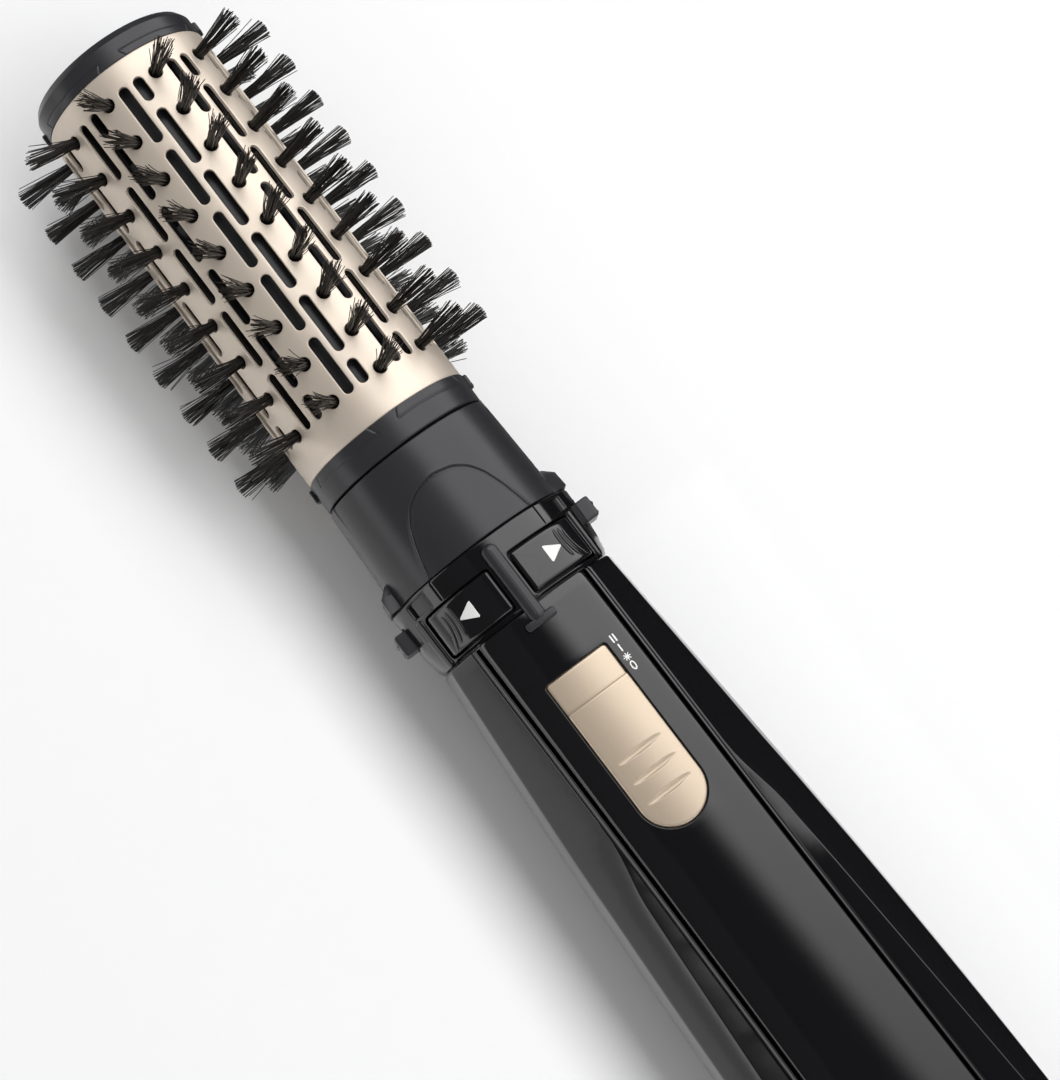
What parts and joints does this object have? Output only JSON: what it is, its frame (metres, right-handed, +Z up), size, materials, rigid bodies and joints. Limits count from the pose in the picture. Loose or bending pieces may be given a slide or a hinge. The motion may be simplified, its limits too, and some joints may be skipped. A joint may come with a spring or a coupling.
{
  "type": "rotating hot air brush",
  "caption": "Hot air styling brush: perforated gold barrel with rows of bristle tufts that spins on a pull-off head, on a black handle with spin buttons and a slide switch.",
  "frame": {"origin": "under the middle of the whole part, level with the lowest bristle tips", "axes": "+X along the barrel's axis from the cord end towards the tip, +Z up out of the controls, +Y to the left of someone looking along +X"},
  "size_m": [0.3486, 0.0692, 0.0676],
  "materials": {
    "barrel_gold": "satin champagne anodising",
    "slider_gold": "satin metallic coat",
    "satin_black": "satin moulded",
    "gloss_black": "high gloss",
    "bristle_nylon": "nylon filament",
    "print_white": "printed",
    "steel": "turned and plated",
    "spring_steel": "drawn wire",
    "brass": "machined",
    "white_acetal": "moulded",
    "mica": "pressed sheet",
    "nichrome": "drawn wire",
    "board_green": "solder mask",
    "filter_grey": "moulded"
  },
  "bodies": {
    "handle": {"control_ring": "gloss_black", "air_outlet": "satin_black", "shaft_bush": "brass", "rotation_switches": "steel", "release_spring_left": "spring_steel", "release_spring_right": "spring_steel", "centre_ridge": "satin_black", "top_cover": "gloss_black", "left_shell": "gloss_black", "right_shell": "gloss_black", "case_screws": "steel", "slider_plate": "slider_gold", "setting_marks": "print_white", "slide_switch": "steel", "circuit_board": "board_green", "gear_case": "filter_grey", "gear_motor": "steel", "heat_shield": "steel", "heater_frame": "mica", "heater_coil": "nichrome", "thermal_cutout": "brass", "fan_duct": "satin_black", "fan_motor": "steel", "inlet_filter": "filter_grey", "rear_cap": "satin_black"},
    "head": {"collar": "satin_black", "collar_bearing": "white_acetal"},
    "barrel": {"barrel_tube": "barrel_gold", "tip_cap": "satin_black", "tip_screw": "steel", "base_ring": "satin_black", "drive_spider": "white_acetal", "head_shaft": "steel", "retaining_ring": "steel", "bristle_cage": "satin_black", "bristle_row_01": "bristle_nylon", "bristle_row_02": "bristle_nylon", "bristle_row_03": "bristle_nylon", "bristle_row_04": "bristle_nylon", "bristle_row_05": "bristle_nylon", "bristle_row_06": "bristle_nylon", "bristle_row_07": "bristle_nylon", "bristle_row_08": "bristle_nylon", "bristle_row_09": "bristle_nylon", "bristle_row_10": "bristle_nylon"},
    "rotate_button_left": {"rotate_button_left": "gloss_black", "arrow_left": "print_white"},
    "rotate_button_right": {"rotate_button_right": "gloss_black", "arrow_right": "print_white"},
    "release_button_left": {"release_button_left": "satin_black"},
    "release_button_right": {"release_button_right": "satin_black"},
    "power_slider": {"power_slider": "slider_gold"},
    "output_drive": {"output_shaft": "steel", "drive_gear": "white_acetal"},
    "motor_pinion": {"motor_pinion": "brass"},
    "fan": {"fan_shaft": "steel", "fan_impeller": "filter_grey"},
    "cord_swivel": {"cord_swivel": "satin_black"}
  },
  "joints": [
    {"name": "head_release", "type": "slide", "parent": "handle", "child": "head", "axis": [1, 0, 0], "range_m": [0, 0.04]},
    {"name": "barrel_spin", "type": "hinge", "parent": "head", "child": "barrel", "pos_m": [0, 0, 0.03379], "axis": [1, 0, 0], "continuous": true},
    {"name": "rotate_left_press", "type": "slide", "parent": "handle", "child": "rotate_button_left", "axis": [0, 0, -1], "range_m": [0, 0.0009], "stiffness_N_per_m": 300, "springref_m": -0.0006},
    {"name": "rotate_right_press", "type": "slide", "parent": "handle", "child": "rotate_button_right", "axis": [0, 0, -1], "range_m": [0, 0.0009], "stiffness_N_per_m": 300, "springref_m": -0.0006},
    {"name": "release_left_press", "type": "slide", "parent": "handle", "child": "release_button_left", "axis": [0, -1, 0], "range_m": [0, 0.0015], "stiffness_N_per_m": 400, "springref_m": -0.0006, "deforming": ["release_spring_left"]},
    {"name": "release_right_press", "type": "slide", "parent": "handle", "child": "release_button_right", "axis": [0, 1, 0], "range_m": [0, 0.0015], "stiffness_N_per_m": 400, "springref_m": -0.0006, "deforming": ["release_spring_right"]},
    {"name": "power_slide", "type": "slide", "parent": "handle", "child": "power_slider", "axis": [1, 0, 0], "range_m": [0, 0.0072]},
    {"name": "output_spin", "type": "hinge", "parent": "handle", "child": "output_drive", "pos_m": [0, 0, 0.03379], "axis": [1, 0, 0], "continuous": true},
    {"name": "pinion_spin", "type": "hinge", "parent": "handle", "child": "motor_pinion", "pos_m": [0, 0, 0.02179], "axis": [1, 0, 0], "continuous": true},
    {"name": "fan_spin", "type": "hinge", "parent": "handle", "child": "fan", "pos_m": [0, 0, 0.03379], "axis": [1, 0, 0], "continuous": true},
    {"name": "cord_swivel_spin", "type": "hinge", "parent": "handle", "child": "cord_swivel", "pos_m": [0, 0, 0.03379], "axis": [1, 0, 0], "continuous": true}
  ],
  "couplings": [
    {"joint": "output_spin", "follows": "barrel_spin", "ratio": 1},
    {"joint": "pinion_spin", "follows": "barrel_spin", "ratio": -3}
  ]
}
